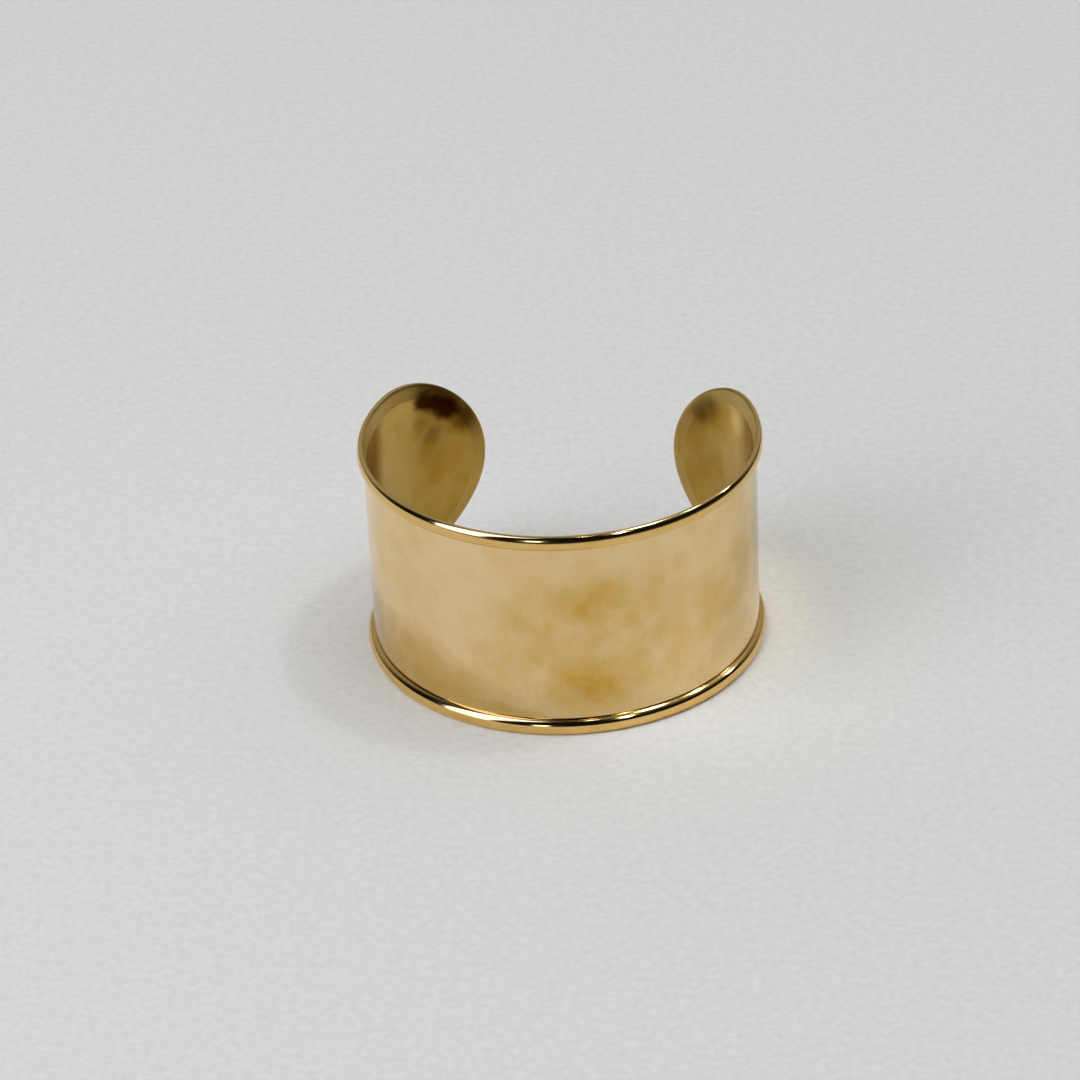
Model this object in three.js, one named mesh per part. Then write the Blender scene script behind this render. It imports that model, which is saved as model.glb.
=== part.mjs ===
// Plain open cuff bangle: one strip of thin brass with round ends, its whole edge rolled outwards
// into a slim bead, bent round the wrist with a gap between the two ends.
//
// Frame, in millimetres: +Z is the axis of the wrist, the closed front faces -Y and the gap faces +Y.
// The origin is under the middle of the cuff, on the surface that its lower bead rests on.

import * as THREE from "three";

// Driving dimensions of the flat strip, before it is bent.
const STRIP_LENGTH = 152.4; // tip to tip
const STRIP_HEIGHT = 33.9; // edge to edge, beads included
const END_LENGTH = 20.7; // from a tip back to where the long edges start
const SHEET = 0.5; // thickness of the metal

// The bend: radius of the middle of the sheet.
const BEND_RADIUS = 29.1;

// The rolled bead, measured outwards from the inner face and down from the strip's edge.
const BEAD_DEPTH = 1.45; // inner face to the fullest point of the bead
const BEAD_CROWN = 0.76; // inner face to the middle of the bead's crown
const BEAD_SEAT = 0.2; // width of the narrow flat along the crown
const BEAD_FULLEST = 1.22; // edge down to the fullest point
const BEAD_HEIGHT = 2.44; // edge down to the underside of the bead, which closes on the outer face
const INNER_CREASE = 2.35; // edge down to where the inner face starts to turn outwards
const CREASE_LEAN = 0.22; // how far the inner face leans out for each millimetre up, past the crease

// Lengths of the section's curve handles, as shares of the distance that each curve spans.
const CROWN_HANDLE = 0.56;
const BELLY_HANDLE = 0.56;

// Facets.
const EDGE_STEPS = 61; // along each long edge, odd so that a facet faces straight forwards
const END_STEPS = 24; // round each end
const CURVE_STEPS = 4; // along each curve of the bead's section

// The bead's section from the inner crease, over the crown and the fullest point, to the outer face.
// x is the distance outwards from the inner face, y the distance down from the edge, as a minus.
function beadSection() {
  const seatStart = BEAD_CROWN - BEAD_SEAT / 2;
  const seatEnd = BEAD_CROWN + BEAD_SEAT / 2;
  const rise = CROWN_HANDLE * INNER_CREASE;
  const shoulder = CROWN_HANDLE * (BEAD_DEPTH - seatEnd);
  const flank = CROWN_HANDLE * BEAD_FULLEST;
  const belly = BELLY_HANDLE * (BEAD_HEIGHT - BEAD_FULLEST);
  const underside = BELLY_HANDLE * (BEAD_DEPTH - SHEET);
  const section = new THREE.Path();
  section.moveTo(0, -INNER_CREASE);
  section.bezierCurveTo(
    CREASE_LEAN * rise, rise - INNER_CREASE,
    seatStart - CROWN_HANDLE * seatStart, 0,
    seatStart, 0,
  );
  section.lineTo(seatEnd, 0);
  section.bezierCurveTo(
    seatEnd + shoulder, 0,
    BEAD_DEPTH, flank - BEAD_FULLEST,
    BEAD_DEPTH, -BEAD_FULLEST,
  );
  section.bezierCurveTo(
    BEAD_DEPTH, -BEAD_FULLEST - belly,
    SHEET + underside, -BEAD_HEIGHT,
    SHEET, -BEAD_HEIGHT,
  );
  return section.getPoints(CURVE_STEPS);
}

// Stations round the edge of the flat strip, anticlockwise from the lower left: each has its place
// and the direction square to the edge, pointing away from the strip.
function edgeStations() {
  const reach = STRIP_LENGTH / 2 - END_LENGTH;
  const middle = STRIP_HEIGHT / 2;
  const lowerEdge = new THREE.LineCurve(new THREE.Vector2(-reach, 0), new THREE.Vector2(reach, 0));
  const upperEdge = new THREE.LineCurve(
    new THREE.Vector2(reach, STRIP_HEIGHT),
    new THREE.Vector2(-reach, STRIP_HEIGHT),
  );
  const quarter = Math.PI / 2;
  const rightEnd = new THREE.EllipseCurve(reach, middle, END_LENGTH, middle, -quarter, quarter);
  const leftEnd = new THREE.EllipseCurve(-reach, middle, END_LENGTH, middle, quarter, 3 * quarter);
  const runs = [
    [lowerEdge, EDGE_STEPS],
    [rightEnd, END_STEPS],
    [upperEdge, EDGE_STEPS],
    [leftEnd, END_STEPS],
  ];
  return runs.flatMap(([curve, steps]) => Array.from({ length: steps }, (_, step) => {
    const tangent = curve.getTangent(step / steps);
    return { place: curve.getPoint(step / steps), away: new THREE.Vector2(tangent.y, -tangent.x) };
  }));
}

// A point of the flat strip, at `along` and `up`, rolled round the wrist at a distance outwards
// from the inner face.
function bend(along, up, outwards) {
  const angle = along / BEND_RADIUS;
  const radius = BEND_RADIUS - SHEET / 2 + outwards;
  return [radius * Math.sin(angle), -radius * Math.cos(angle), up];
}

// Triangles of the bead: one band of quads between each station and the next.
function beadTriangles(stationCount, sectionCount) {
  const triangles = [];
  for (let station = 0; station < stationCount; station += 1) {
    const here = station * sectionCount;
    const next = ((station + 1) % stationCount) * sectionCount;
    for (let k = 0; k < sectionCount - 1; k += 1) {
      triangles.push(here + k, next + k + 1, here + k + 1);
      triangles.push(here + k, next + k, next + k + 1);
    }
  }
  return triangles;
}

// Triangles of one face of the band, as a ladder from the left tip to the right tip. Each rung joins
// the two stations that stand one above the other, so it runs straight up the bent face.
function faceTriangles(stationCount, sectionCount, sectionIndex) {
  const leftTip = stationCount - END_STEPS / 2;
  const lower = (rung) => ((leftTip + rung) % stationCount) * sectionCount + sectionIndex;
  const upper = (rung) => ((leftTip - rung) % stationCount) * sectionCount + sectionIndex;
  const triangles = [];
  for (let rung = 0; rung < stationCount / 2; rung += 1) {
    triangles.push([lower(rung), upper(rung + 1), upper(rung)]);
    triangles.push([lower(rung), lower(rung + 1), upper(rung + 1)]);
  }
  return triangles.filter(([a, b, c]) => a !== b && b !== c && c !== a);
}

function cuffGeometry() {
  const section = beadSection();
  const stations = edgeStations();
  const positions = stations.flatMap(({ place, away }) => section.flatMap((point) => bend(
    place.x + away.x * point.y,
    place.y + away.y * point.y,
    point.x,
  )));
  const innerFace = faceTriangles(stations.length, section.length, 0);
  const outerFace = faceTriangles(stations.length, section.length, section.length - 1);
  const geometry = new THREE.BufferGeometry();
  geometry.setAttribute("position", new THREE.Float32BufferAttribute(positions, 3));
  geometry.setIndex([
    ...beadTriangles(stations.length, section.length),
    ...innerFace.flatMap(([a, b, c]) => [a, c, b]),
    ...outerFace.flat(),
  ]);
  geometry.computeVertexNormals();
  return geometry;
}

const polishedBrass = new THREE.MeshStandardMaterial({ color: 0xf0d29a, roughness: 0.18, metalness: 1 });

function cuffBand() {
  const cuff = new THREE.Mesh(cuffGeometry(), polishedBrass);
  cuff.name = "cuff_band";
  cuff.geometry.computeBoundingBox();
  const { min, max } = cuff.geometry.boundingBox;
  cuff.position.y = -(min.y + max.y) / 2;
  return cuff;
}

const bangle = new THREE.Group();
bangle.add(cuffBand());

export default bangle;
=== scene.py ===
"""A plain brass cuff bangle, resting on its lower edge on a pale sheet under soft lamps."""

import math
from itertools import pairwise

import bmesh
import bpy
from mathutils import Matrix, Vector
from mathutils.geometry import interpolate_bezier


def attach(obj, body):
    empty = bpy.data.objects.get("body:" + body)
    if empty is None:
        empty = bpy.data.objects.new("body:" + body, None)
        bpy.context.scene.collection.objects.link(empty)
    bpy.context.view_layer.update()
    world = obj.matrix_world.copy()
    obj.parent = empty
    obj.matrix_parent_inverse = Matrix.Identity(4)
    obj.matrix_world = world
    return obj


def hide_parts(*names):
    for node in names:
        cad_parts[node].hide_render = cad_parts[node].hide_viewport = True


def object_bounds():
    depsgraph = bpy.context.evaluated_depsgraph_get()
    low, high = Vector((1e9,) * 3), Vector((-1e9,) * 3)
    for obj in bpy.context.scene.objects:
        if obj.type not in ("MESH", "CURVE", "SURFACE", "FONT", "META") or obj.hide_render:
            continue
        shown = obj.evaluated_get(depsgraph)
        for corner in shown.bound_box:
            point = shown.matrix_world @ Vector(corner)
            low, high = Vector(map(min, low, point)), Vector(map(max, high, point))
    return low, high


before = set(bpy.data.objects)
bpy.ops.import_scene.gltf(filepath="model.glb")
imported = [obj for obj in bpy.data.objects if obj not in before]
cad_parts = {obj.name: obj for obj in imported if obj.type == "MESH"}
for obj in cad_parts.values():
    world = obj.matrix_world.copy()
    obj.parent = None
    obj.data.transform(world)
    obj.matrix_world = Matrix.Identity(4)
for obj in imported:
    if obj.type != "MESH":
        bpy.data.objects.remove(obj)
cad_low, cad_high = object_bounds()

scene = bpy.context.scene
scene.view_settings.view_transform = "Standard"
scene.view_settings.look = "Medium High Contrast"
scene.cycles.blur_glossy = 0  # the light that the brass throws onto the sheet stays sharp


# ---------------------------------------------------------------- the camera
# It stands in front of the closed side of the cuff and a little to the right of it, well above the
# sheet, and looks with a long lens at the middle of the circle that the cuff is bent round.
OUTER_RADIUS = (cad_high.x - cad_low.x) / 2
WRIST_CENTRE = Vector((0, cad_low.y + OUTER_RADIUS, (cad_low.z + cad_high.z) / 2))
CAMERA_BEARING = math.radians(6.77)
CAMERA_CLIMB = math.radians(30.96)
CAMERA_ROLL = math.radians(-2.45)
CAMERA_DISTANCE = 0.6992
CAMERA_LENS = 154.6
CAMERA_SENSOR = 36
CAMERA_SHIFT = (-0.0218, -0.0077)
CAMERA_NEAREST = 0.01


def direction(bearing, climb):
    """From the cuff towards a bearing, counted rightwards from its closed front, and a climb."""
    level = Vector((math.sin(bearing), -math.cos(bearing), 0)) * math.cos(climb)
    return level + Vector((0, 0, math.sin(climb)))


def aimed(place, target, roll=0.0):
    """The matrix of a camera or lamp that stands at a place and looks at a target."""
    look = (target - place).to_track_quat("-Z", "Y").to_matrix().to_4x4()
    return Matrix.Translation(place) @ look @ Matrix.Rotation(roll, 4, "Z")


camera = bpy.data.objects.new("camera", bpy.data.cameras.new("camera"))
camera.data.lens = CAMERA_LENS
camera.data.sensor_width = CAMERA_SENSOR
camera.data.shift_x, camera.data.shift_y = CAMERA_SHIFT
camera.data.clip_start = CAMERA_NEAREST
camera_place = WRIST_CENTRE + direction(CAMERA_BEARING, CAMERA_CLIMB) * CAMERA_DISTANCE
camera.matrix_world = aimed(camera_place, WRIST_CENTRE, CAMERA_ROLL)
scene.collection.objects.link(camera)
scene.camera = camera


# ---------------------------------------------------------------- the cuff
# One strip of thin sheet brass with two round ends. Its edge is rolled outwards all the way round into
# a slim bead, which stiffens the metal and is smooth on the skin. Then the strip is bent to the wrist.
# Lengths are in millimetres: along the strip, up the strip and outwards from the wrist.
MILLIMETRE = 0.001
STRIP_LENGTH = 152.38  # tip to tip
STRIP_HEIGHT = (cad_high.z - cad_low.z) / MILLIMETRE
END_LENGTH = 20.7  # from a tip back to where the long edges start
SHEET = 0.5  # thickness of the metal
BEND_RADIUS = 29.1  # to the middle of the sheet
BEAD_DEPTH = 1.45  # inner face to the fullest point of the bead
BEAD_CROWN = 0.76  # inner face to the middle of the bead's crown
BEAD_SEAT = 0.2  # width of the narrow flat along the crown
BEAD_FULLEST = 1.22  # edge down to the fullest point
BEAD_HEIGHT = 2.44  # edge down to where the bead closes on the outer face
INNER_CREASE = 2.35  # edge down to where the inner face starts to turn outwards
CREASE_LEAN = 0.22  # how far the inner face leans out for each millimetre up, past the crease
CROWN_HANDLE = 0.56  # handles of the section's curves, as shares of what each curve spans
BELLY_HANDLE = 0.56
END_SEGMENTS = 192  # round the two ends together
LONG_EDGE_CUTS = 201  # along each long edge
BEAD_STEPS = 9  # along each curve of the bead's section
RUNG_CUTS = 13  # up each face
OUTSIDE, ROLLED, FLARED, INSIDE = range(4)  # the surfaces, in the order of their finishes


def cut_blank(bm):
    """Cuts the flat strip: a circle is stretched to the ends' shape and its halves drawn apart."""
    bmesh.ops.create_circle(bm, segments=END_SEGMENTS, radius=1)
    half_segment = math.pi / END_SEGMENTS
    bmesh.ops.rotate(bm, verts=bm.verts, matrix=Matrix.Rotation(half_segment, 3, "Z"))
    flats = 1 / math.cos(half_segment)
    bmesh.ops.scale(bm, verts=bm.verts, vec=(END_LENGTH * flats, STRIP_HEIGHT / 2 * flats, 1))
    reach = STRIP_LENGTH / 2 - END_LENGTH
    for side in (-1, 1):
        half = [vert for vert in bm.verts if vert.co.x * side > 0]
        bmesh.ops.translate(bm, verts=half, vec=(reach * side, 0, 0))
    long_edges = [edge for edge in bm.edges if edge.calc_length() > reach]
    bmesh.ops.subdivide_edges(bm, edges=long_edges, cuts=LONG_EDGE_CUTS)
    bmesh.ops.contextual_create(bm, geom=bm.edges[:])


def thicken_blank(bm):
    """Gives the blank two faces, as far apart as the flat along the bead's crown is wide."""
    bmesh.ops.extrude_face_region(bm, geom=bm.faces[:])
    for face in bm.faces:
        face.material_index = ROLLED
    faces = sorted(bm.faces, key=lambda face: len(face.verts))[-2:]
    bm.normal_update()
    outer, inner = sorted(faces, key=lambda face: face.normal.z, reverse=True)
    bmesh.ops.translate(bm, verts=inner.verts, vec=(0, 0, BEAD_CROWN - BEAD_SEAT / 2))
    bmesh.ops.translate(bm, verts=outer.verts, vec=(0, 0, BEAD_CROWN + BEAD_SEAT / 2))
    bm.normal_update()
    return outer, inner


def roll_edge(bm, face, finish, *curves):
    """Rolls the rim of a face along curves of points: in from the edge, and outwards."""
    facing = round(face.normal.z)
    for curve in curves:
        for before, after in pairwise(interpolate_bezier(*curve, BEAD_STEPS + 1)):
            inset = bmesh.ops.inset_region(
                bm,
                faces=[face],
                thickness=after.x - before.x,
                depth=(after.y - before.y) * facing,
                use_even_offset=True,
            )
            for rolled in inset["faces"]:
                rolled.material_index = finish


def fill_face(bm, face, finish):
    """Fills the middle of a face with upright strips, which can bend round the wrist."""
    rim = list(face.edges)
    bmesh.ops.delete(bm, geom=[face], context="FACES_ONLY")
    for edge in rim:
        edge.smooth = False
    tips = sorted(rim, key=lambda edge: abs(edge.verts[0].co.x + edge.verts[1].co.x))[-2:]
    bridge = bmesh.ops.bridge_loops(bm, edges=[edge for edge in rim if edge not in tips])
    for filled in bridge["faces"]:
        filled.material_index = finish
    rungs = [edge for edge in bridge["edges"] if edge not in tips]
    bmesh.ops.subdivide_edges(bm, edges=rungs, cuts=RUNG_CUTS)


def rolled_strip():
    """The whole strip, flat, with its rolled edge, and a map of it in millimetres."""
    bm = bmesh.new()
    cut_blank(bm)
    outer, inner = thicken_blank(bm)
    crown_out = Vector((0, BEAD_CROWN + BEAD_SEAT / 2))
    crown_in = Vector((0, BEAD_CROWN - BEAD_SEAT / 2))
    fullest = Vector((BEAD_FULLEST, BEAD_DEPTH))
    closed = Vector((BEAD_HEIGHT, SHEET))
    crease = Vector((INNER_CREASE, 0))
    roll_edge(
        bm,
        outer,
        ROLLED,
        (
            crown_out,
            crown_out.lerp(Vector((0, BEAD_DEPTH)), CROWN_HANDLE),
            fullest.lerp(Vector((0, BEAD_DEPTH)), CROWN_HANDLE),
            fullest,
        ),
        (
            fullest,
            fullest.lerp(Vector((BEAD_HEIGHT, BEAD_DEPTH)), BELLY_HANDLE),
            closed.lerp(Vector((BEAD_HEIGHT, BEAD_DEPTH)), BELLY_HANDLE),
            closed,
        ),
    )
    rise = CROWN_HANDLE * INNER_CREASE
    roll_edge(
        bm,
        inner,
        FLARED,
        (
            crown_in,
            crown_in.lerp(Vector((0, 0)), CROWN_HANDLE),
            crease + Vector((-rise, CREASE_LEAN * rise)),
            crease,
        ),
    )
    fill_face(bm, outer, OUTSIDE)
    fill_face(bm, inner, INSIDE)
    flat_map = bm.loops.layers.uv.new("strip")
    for face in bm.faces:
        face.smooth = True
        for loop in face.loops:
            loop[flat_map].uv = loop.vert.co.xy
    return bm


def bend_round_wrist(bm):
    """Bends the flat strip round the wrist and stands it on its lower edge, in metres."""
    inner_radius = OUTER_RADIUS / MILLIMETRE - BEAD_DEPTH
    for vert in bm.verts:
        around = direction(vert.co.x / BEND_RADIUS, 0)
        vert.co = around * (inner_radius + vert.co.z) + Vector((0, 0, vert.co.y))
    bmesh.ops.scale(bm, verts=bm.verts, vec=Vector((1, 1, 1)) * MILLIMETRE)
    bmesh.ops.translate(bm, verts=bm.verts, vec=WRIST_CENTRE)
    bmesh.ops.recalc_face_normals(bm, faces=bm.faces)


cuff_bm = rolled_strip()
bend_round_wrist(cuff_bm)
cuff = bpy.data.objects.new("cuff", bpy.data.meshes.new("cuff"))
cuff_bm.to_mesh(cuff.data)
cuff_bm.free()
scene.collection.objects.link(cuff)
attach(cuff, "root")
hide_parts("cuff_band")


# The same brass all over, in four finishes: the band is buffed and a little hazy from handling, the
# rolled bead has a mirror polish, the inside is duller, and the crease inside the roll is duller still.
# Brown tarnish straddles that crease near the two tips.
def feed(tree, socket, value):
    """Joins another socket to an input of a node, or sets that input to a plain value."""
    if isinstance(value, bpy.types.NodeSocket):
        tree.links.new(value, socket)
    else:
        socket.default_value = value


def add_node(tree, kind, inputs=None, **settings):
    """Adds a shader node with its settings and its inputs."""
    node = tree.nodes.new("ShaderNode" + kind)
    for name, setting in settings.items():
        setattr(node, name, setting)
    for name, value in (inputs or {}).items():
        feed(tree, node.inputs[name], value)
    return node


def new_material(name):
    """A material, with its node tree and its Principled shader."""
    material = bpy.data.materials.new(name)
    material.use_nodes = True
    return material, material.node_tree, material.node_tree.nodes["Principled BSDF"]


def clouds(tree, where, size, low=0.0, high=1.0, detail=3.0, spread=(0.3, 0.7)):
    """Soft clouds of about a given size, between a low and a high value."""
    pattern = add_node(tree, "TexNoise", {"Vector": where, "Scale": 1 / size, "Detail": detail})
    limits = {"From Min": spread[0], "From Max": spread[1], "To Min": low, "To Max": high}
    shaped = add_node(tree, "MapRange", {"Value": pattern.outputs["Fac"], **limits})
    return shaped.outputs["Result"]


def maths(tree, operation, first, second):
    """The result of one sum on two values."""
    return add_node(tree, "Math", {0: first, 1: second}, operation=operation).outputs["Value"]


def mixed(tree, share, first, second):
    """A mix of two colours, by the share of the second one."""
    node = add_node(tree, "Mix", data_type="RGBA")
    sockets = [socket for socket in node.inputs if socket.enabled]
    for socket, value in zip(sockets, (share, first, second)):
        feed(tree, socket, value)
    return next(socket for socket in node.outputs if socket.enabled)


def vectors(tree, operation, inputs):
    """A node that works on places or directions."""
    return add_node(tree, "VectorMath", inputs, operation=operation)


def strip_places(tree, stray=0.0, stray_size=5.0):
    """Places on the strip, in millimetres, that stray a little so that patches have ragged edges."""
    flat_map = add_node(tree, "UVMap", uv_map="strip").outputs["UV"]
    if not stray:
        return flat_map
    wander = add_node(tree, "TexNoise", {"Vector": flat_map, "Scale": 1 / stray_size, "Detail": 3.0})
    middle = (0.5, 0.5, 0.5)
    either_way = vectors(tree, "SUBTRACT", {0: wander.outputs["Color"], 1: middle})
    strayed = vectors(tree, "SCALE", {0: either_way.outputs["Vector"], "Scale": 2 * stray})
    return vectors(tree, "ADD", {0: flat_map, 1: strayed.outputs["Vector"]}).outputs["Vector"]


def faded(tree, value, limits):
    """A value that fades softly between two limits."""
    inputs = {"Value": value, **limits}
    return add_node(tree, "MapRange", inputs, interpolation_type="SMOOTHSTEP").outputs["Result"]


def patch(tree, where, along, up, length, height, turn=0.0, core=0.1):
    """A patch on the strip: 1 in its core, fading to 0 at its rim. It may be turned, in degrees."""
    local = add_node(
        tree,
        "Mapping",
        {
            "Vector": where,
            "Location": (along, up, 0),
            "Rotation": (0, 0, math.radians(turn)),
            "Scale": (length / 2, height / 2, 1),
        },
        vector_type="TEXTURE",
    )
    flat = vectors(tree, "MULTIPLY", {0: local.outputs["Vector"], 1: (1, 1, 0)})
    away = vectors(tree, "LENGTH", {0: flat.outputs["Vector"]})
    return faded(tree, away.outputs["Value"], {"From Min": 1.0, "From Max": core})


def patches(tree, where, rows):
    """Several patches from the rows of a table. Where two meet, the stronger one shows."""
    total = 0.0
    for strength, *place in rows:
        one = maths(tree, "MULTIPLY", strength, patch(tree, where, *place))
        total = maths(tree, "MAXIMUM", total, one)
    return total


def roughen(tree, shader, heights, distance, strength):
    """Joins a pattern of heights to a shader as bumps."""
    bump = add_node(tree, "Bump", {"Height": heights, "Distance": distance, "Strength": strength})
    tree.links.new(bump.outputs["Normal"], shader.inputs["Normal"])


def metal_look(tree, shader, colour, roughness):
    """Gives a shader the look of bare metal."""
    shader.inputs["Metallic"].default_value = 1
    feed(tree, shader.inputs["Base Color"], colour)
    feed(tree, shader.inputs["Roughness"], roughness)


HAZED_BRASS = (0.91, 0.705, 0.40, 1)
CLEAN_BRASS = (0.87, 0.61, 0.25, 1)
INNER_BRASS = (0.59, 0.41, 0.13, 1)
WARM_TARNISH = (0.70, 0.43, 0.085, 1)
# Painted shade: the band is darkened towards this brass low down, at its sides and at its lower left.
PAINTED_SHADE_BRASS = (0.42, 0.31, 0.14, 1)
INNER_TARNISH = (0.49, 0.29, 0.04, 1)
CREASE_TARNISH = (0.62, 0.445, 0.15, 1)
OLIVE_TARNISH = (0.20, 0.12, 0.012, 1)
BROWN_TARNISH = (0.075, 0.020, 0.001, 1)
DULL_EDGE_TINT = (0.90, 0.86, 0.76, 1)

BUFFING_LINES = (0.12, 3.0, 1)  # in a millimetre, along and up the strip
LINE_HEIGHT = 0.000002  # in metres

# In the tables of patches, a row holds a patch's strength, its place along and up the strip from its
# middle, its length and height, its turn in degrees and its core, the share that doesn't fade.
TARNISH_AND_SHADE_PLACES = (
    (0.26, 4.0, -3.0, 38, 42.0, 0, 0.2),
    (0.72, 6.8, 5.3, 23, 15.0, 0, 0.0),
    (0.55, 0.0, 1.2, 8, 8.0, 0, 0.0),
    (0.52, 12.4, 1.4, 7, 8.0, 0, 0.0),
    (0.28, -2.0, 0.0, 12, 36.0, 0, 0.2),
    (0.32, -7.0, -4.0, 16, 15.0, 0, 0.1),
    (0.35, 14.0, -7.0, 10, 10.0, 0, 0.2),
    (0.30, 15.0, 5.0, 13, 13.0, 0, 0.2),
    (0.68, 6.0, -8.0, 21, 15.0, -4, 0.2),
    (0.88, 6.5, -8.8, 17, 10.0, -4, 0.2),
    (0.55, -1.0, -4.0, 6, 4.0, 0, 0.0),
    (0.25, 20.0, -1.0, 14, 26.0, 0, 0.2),
    # The next two rows are partly warm tarnish and partly painted shade: the sheet's shadow mirrored at
    # the lower left, and shade along the band's foot.
    (0.52, -22.0, -11.5, 44, 18.0, 0, 0.3),
    (0.60, -8.0, -14.0, 24, 4.5, 0, 0.2),
    (0.35, 29.0, -1.5, 24, 15.0, 0, 0.2),
    (0.40, 36.0, 3.0, 10, 20.0, 0, 0.2),
)
BRIGHT_PLACES = ((0.18, -13.0, 4.0, 16, 50.0, 0, 0.1),)
# Painted shade on the band: along its foot above the bead, at its far left and right, and at its lower
# left, where it mirrors the sheet's shadow.
PAINTED_SHADE_PLACES = (
    (0.44, -38.0, -9.5, 22, 17.0, 0, 0.2),
    (0.16, -22.0, -12.5, 26, 8.0, 0, 0.2),
    (0.24, 6.0, -13.5, 80, 15.0, 0, 0.1),
    (0.20, 32.0, -11.0, 26, 12.0, 0, 0.1),
    (0.36, -44.0, 3.0, 11, 44.0, 0, 0.2),
    (0.38, 44.0, 4.0, 11, 36.0, 0, 0.2),
)


def band_finish():
    """The outside of the band: buffed, hazy, warm clouds of tarnish round its middle, painted shade low
    down and at its sides.
    """
    material, tree, shader = new_material("brass_band")
    even = strip_places(tree)
    ragged = strip_places(tree, stray=3.0, stray_size=6.0)
    mottled = clouds(tree, ragged, size=3.0, low=0.78, high=1.1, detail=5.0)
    # Warm tarnish, with painted shade in two of its rows.
    tarnish_and_shade = maths(tree, "MULTIPLY", patches(tree, ragged, TARNISH_AND_SHADE_PLACES), mottled)
    wiped = clouds(tree, even, size=5.0, low=-0.04, high=0.30, detail=8.0)
    haze = maths(tree, "SUBTRACT", wiped, patches(tree, ragged, BRIGHT_PLACES))
    brass = mixed(tree, maths(tree, "ADD", tarnish_and_shade, haze), HAZED_BRASS, WARM_TARNISH)
    speckle = clouds(tree, even, size=0.5, low=-0.05, high=0.07)
    # Painted shade, with a fine speckle of tone.
    painted_shade_and_speckle = maths(tree, "ADD", patches(tree, ragged, PAINTED_SHADE_PLACES), speckle)
    buffing = clouds(tree, ragged, size=6.0, low=0.10, high=0.17, detail=5.0)
    metal_look(tree, shader, mixed(tree, painted_shade_and_speckle, brass, PAINTED_SHADE_BRASS), buffing)
    drawn_out = add_node(tree, "Mapping", {"Vector": even, "Scale": BUFFING_LINES})
    lines = clouds(tree, drawn_out.outputs["Vector"], size=1.0, detail=6.0)
    roughen(tree, shader, lines, distance=LINE_HEIGHT, strength=0.35)
    return material


def bead_finish():
    """The rolled bead: a mirror polish with the faintest wear."""
    material, tree, shader = new_material("brass_bead")
    even = strip_places(tree)
    worn = clouds(tree, even, size=5.0, low=0.0, high=0.3, detail=4.0)
    polish = clouds(tree, even, size=2.0, low=0.08, high=0.14, detail=5.0)
    metal_look(tree, shader, mixed(tree, worn, CLEAN_BRASS, WARM_TARNISH), polish)
    return material


OLIVE_HALOS = (
    (0.85, -67.6, 11.8, 15, 9.0, 35, 0.2),
    (0.90, -72.3, 6.4, 8, 6.5, 55, 0.2),
    (0.45, -63.8, 8.6, 6, 6.5, 10, 0.0),
    (0.50, -66.0, 6.0, 7, 5.0, -10, 0.0),
    (0.50, -47.5, 5.0, 11, 24.0, 0, 0.3),
    (0.50, 53.2, 7.0, 6, 17.0, 25, 0.3),
    (0.75, 68.4, 10.0, 11, 5.5, -35, 0.2),
)
BROWN_BLOTCHES = (
    (1.0, -65.2, 12.0, 6.5, 4.2, 20, 0.35),
    (1.0, -69.2, 9.3, 8, 4.8, 38, 0.35),
    (1.0, -67.0, 11.0, 9, 4.2, 36, 0.35),
    (0.30, 70.4, 8.4, 5, 4.0, -40, 0.2),
    (0.15, 66.9, 10.9, 5, 3.5, -30, 0.2),
)
LESS_DULL_PLACES = (
    (0.65, -57.5, 2.0, 17, 46.0, 0, 0.0),
    (1.0, 61.5, 3.0, 8, 22.0, 0, 0.2),
)
# Painted highlights: two lighter patches near the tips of the inside.
PAINTED_HIGHLIGHT_PLACES = (
    (0.4, -60.0, 13.0, 9, 5.0, 0, 0.0),
    (0.8, 60.0, 11.5, 7, 8.0, 0, 0.0),
)


def browned(tree, where, base):
    """A colour with dark brown blotches in olive halos, which straddle the crease near the tips."""
    haloed = mixed(tree, patches(tree, where, OLIVE_HALOS), base, OLIVE_TARNISH)
    return mixed(tree, patches(tree, where, BROWN_BLOTCHES), haloed, BROWN_TARNISH)


def crease_finish():
    """The inside of the roll, where polish hardly reaches: greyer and duller than the rest."""
    material, tree, shader = new_material("brass_crease")
    ragged = strip_places(tree, stray=1.0, stray_size=2.2)
    dull = clouds(tree, ragged, size=4.0, low=0.0, high=0.4, detail=4.0)
    base = mixed(tree, dull, CREASE_TARNISH, INNER_TARNISH)
    metal_look(tree, shader, browned(tree, ragged, base), roughness=0.35)
    return material


def inside_finish():
    """The inside: dull, with two painted highlights and the same tarnish near the two tips."""
    material, tree, shader = new_material("brass_inside")
    ragged = strip_places(tree, stray=1.0, stray_size=2.2)
    less_dull = patches(tree, ragged, LESS_DULL_PLACES)
    dull = maths(tree, "SUBTRACT", clouds(tree, ragged, size=7.0, detail=4.0), less_dull)
    dulled = mixed(tree, dull, INNER_BRASS, INNER_TARNISH)
    # Painted highlights: two patches near the tips are mixed towards clean brass.
    base = mixed(tree, patches(tree, ragged, PAINTED_HIGHLIGHT_PLACES), dulled, CLEAN_BRASS)
    wear = clouds(tree, ragged, size=5.0, low=0.16, high=0.26, detail=5.0)
    metal_look(tree, shader, browned(tree, ragged, base), wear)
    shader.inputs["Specular Tint"].default_value = DULL_EDGE_TINT
    return material


for finish in (band_finish, bead_finish, crease_finish, inside_finish):
    cuff.data.materials.append(finish())


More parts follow.
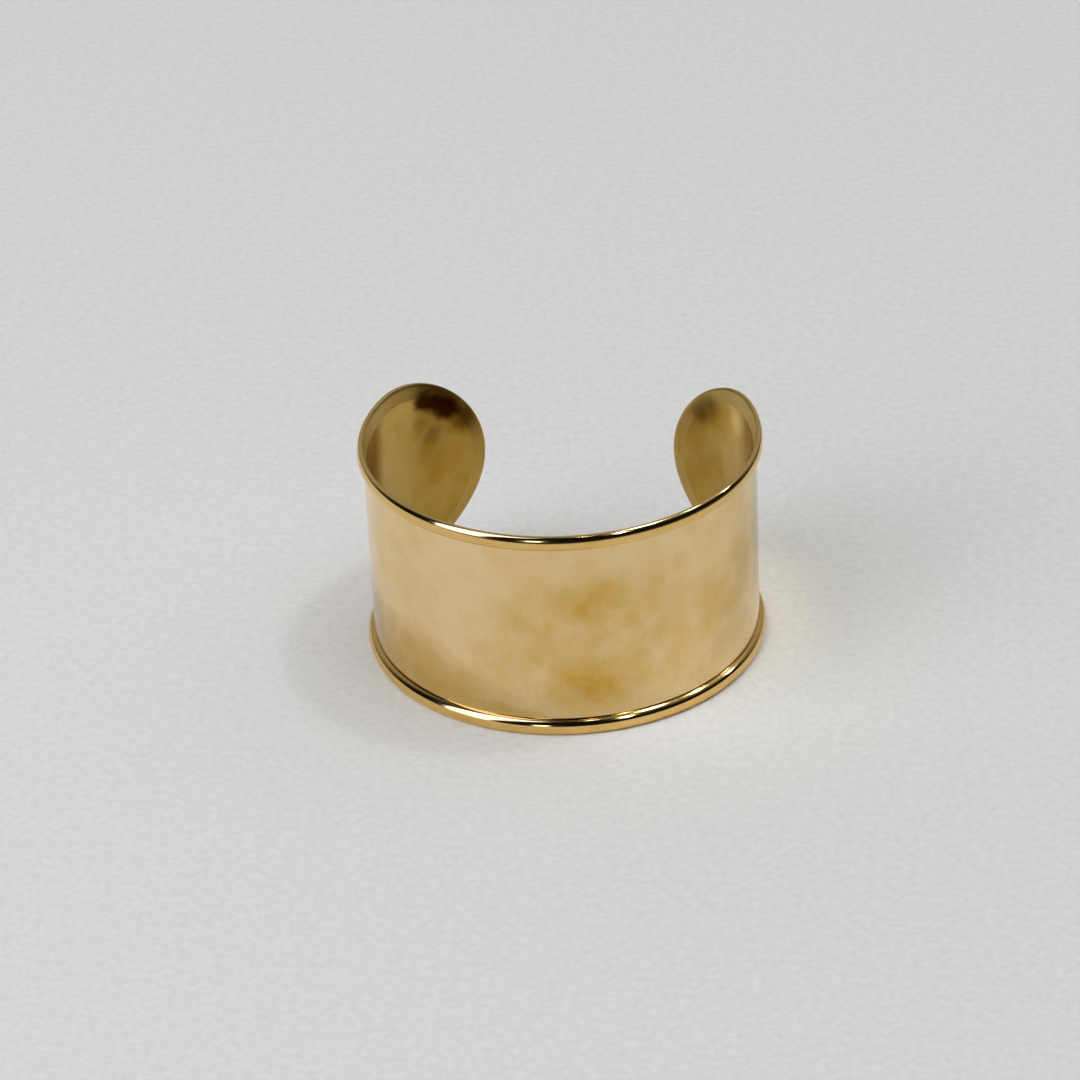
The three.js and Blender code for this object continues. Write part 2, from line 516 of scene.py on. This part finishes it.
# ---------------------------------------------------------------- the sheet
# A plain sheet of off-white, slightly fluffy paper that the cuff rests on. It has round corners and
# fades into the dark table round it. Its middle and its half width and length are in metres.
GROUND_RADIUS = 2.5
SHEET_MIDDLE = (-0.15, 0.06, 0)
SHEET_REACH = (0.26, 0.20, 1)
SHEET_SQUARENESS = 8
SHEET_FADE = 1.25  # where the table is reached, as a share of the sheet's reach
PAPER_FIBRES = 0.0012
FIBRE_HEIGHT = 0.00005
PAPER = (0.89, 0.89, 0.885, 1)
PAPER_SHADE = (0.82, 0.82, 0.81, 1)
TABLE = (0.03, 0.03, 0.03, 1)

sheet_bm = bmesh.new()
bmesh.ops.create_circle(sheet_bm, cap_ends=True, segments=96, radius=GROUND_RADIUS)
sheet = bpy.data.objects.new("pale_sheet", bpy.data.meshes.new("pale_sheet"))
sheet_bm.to_mesh(sheet.data)
sheet_bm.free()
scene.collection.objects.link(sheet)

material, tree, shader = new_material("paper")
on_sheet = add_node(tree, "TexCoord").outputs["Object"]
fibres = clouds(tree, on_sheet, PAPER_FIBRES, detail=5.0)
paper = mixed(tree, fibres, PAPER, PAPER_SHADE)
from_middle = vectors(tree, "SUBTRACT", {0: on_sheet, 1: SHEET_MIDDLE}).outputs["Vector"]
shares = vectors(tree, "DIVIDE", {0: from_middle, 1: SHEET_REACH}).outputs["Vector"]
axes = add_node(tree, "SeparateXYZ", {"Vector": shares})
lengths = [maths(tree, "ABSOLUTE", axes.outputs[axis], 0) for axis in "XY"]
powers = [maths(tree, "POWER", length, SHEET_SQUARENESS) for length in lengths]
reach = maths(tree, "POWER", maths(tree, "ADD", *powers), 1 / SHEET_SQUARENESS)
beyond = faded(tree, reach, {"From Min": 1.0, "From Max": SHEET_FADE})
tree.links.new(mixed(tree, beyond, paper, TABLE), shader.inputs["Base Color"])
shader.inputs["Roughness"].default_value = 0.9
shader.inputs["Specular IOR Level"].default_value = 0.2
roughen(tree, shader, fibres, distance=FIBRE_HEIGHT, strength=0.5)
sheet.data.materials.append(material)


# ---------------------------------------------------------------- the light
# A dim room with a tall window on the left, a strong lamp high on the right, a small one overhead and
# three broad fills. The brass mirrors neither the fills nor the window itself. It mirrors the glints, a
# bluer, narrower window and five slim cool lamps, which light the sheet only by way of the brass.
LAMP_DISTANCE = 1.5
GLINT_DISTANCE = 1.4  # nearer, because lamps in one place hide one another
WHITE = (1, 1, 1)
COOL = (0.6, 0.75, 1)
SKY_BLUE = (0.46, 0.545, 1)
WALL_LIGHT = 0.01  # from the walls where they don't glow


def place_lamp(name, lamp, bearing, climb, turn=0, distance=LAMP_DISTANCE):
    """Stands a lamp facing the cuff. Its bearing counts rightwards from the camera's."""
    box = bpy.data.objects.new(name, lamp)
    towards = direction(CAMERA_BEARING + math.radians(bearing), math.radians(climb))
    box.matrix_world = aimed(WRIST_CENTRE + towards * distance, WRIST_CENTRE, math.radians(turn))
    scene.collection.objects.link(box)
    return box


def softbox(
    name, bearing, climb, width, height, radiance, turn=0, tint=WHITE, distance=LAMP_DISTANCE
):
    """A plain soft rectangular lamp."""
    lamp = bpy.data.lights.new(name, "AREA")
    lamp.shape = "RECTANGLE"
    lamp.size = width
    lamp.size_y = height
    lamp.energy = radiance * math.pi * width * height
    lamp.color = tint
    return place_lamp(name, lamp, bearing, climb, turn, distance)


def glint(*settings):
    """A softbox that shows only in the polished metal, a little nearer than the others."""
    softbox(*settings, GLINT_DISTANCE).visible_diffuse = False


def fill(name, bearing, climb, spread, strength):
    """A broad, even light that the polished metal doesn't mirror."""
    lamp = bpy.data.lights.new(name, "SUN")
    lamp.angle = math.radians(spread)
    lamp.energy = strength
    place_lamp(name, lamp, bearing, climb).visible_glossy = False


# Softboxes and glints: bearing, climb, width, height, radiance, turn and tint. A slim glint is turned
# so that it lies across the bead. Fills: bearing, climb, spread and strength. Angles are in degrees.
softbox("window", -61, 35, 1.10, 2.40, 1.34).visible_glossy = False
softbox("high_lamp", 106, 69, 0.14, 0.14, 25)
softbox("top_lamp", 20, 70, 0.09, 0.09, 10)
glint("window_glint", -57, 35, 0.76, 2.25, 3.4, 0, SKY_BLUE)
glint("high_glint", 106, 69, 0.90, 0.20, 6, 10, COOL)
glint("right_glint", 35, 44, 0.60, 0.09, 14, 78, COOL)
glint("side_glint", 110, 54, 0.60, 0.08, 10, 24, COOL)
glint("low_side_glint", 111, 35, 0.60, 0.08, 10, 49, COOL)
glint("front_glint", -16, 9, 0.20, 0.36, 3, 0, COOL)
fill("side_fill", 100, 60, 64, 0.38)
fill("front_fill", -10, 50, 90, 0.30)
fill("overhead_fill", 10, 78, 50, 0.20)

world = bpy.data.worlds.new("room")
world.use_nodes = True
scene.world = world
tree = world.node_tree
seen = add_node(tree, "TexCoord").outputs["Generated"]


def glow(bearing, climb, nearest, farthest, strength):
    """A soft bright place on the room's walls, fading between two angles from its middle."""
    middle = direction(CAMERA_BEARING + math.radians(bearing), math.radians(climb))
    facing = vectors(tree, "DOT_PRODUCT", {0: seen, 1: middle}).outputs["Value"]
    limits = {
        "From Min": math.cos(math.radians(farthest)),
        "From Max": math.cos(math.radians(nearest)),
        "To Max": strength,
    }
    return faded(tree, facing, limits)


high_glow = glow(100, 60, nearest=12, farthest=42, strength=0.20)
back_glow = glow(180, 18, nearest=20, farthest=78, strength=0.32)
glows = maths(tree, "ADD", high_glow, back_glow)
walls = tree.nodes["Background"]
tree.links.new(maths(tree, "ADD", glows, WALL_LIGHT), walls.inputs["Strength"])
walls.inputs["Color"].default_value = (*WHITE, 1)
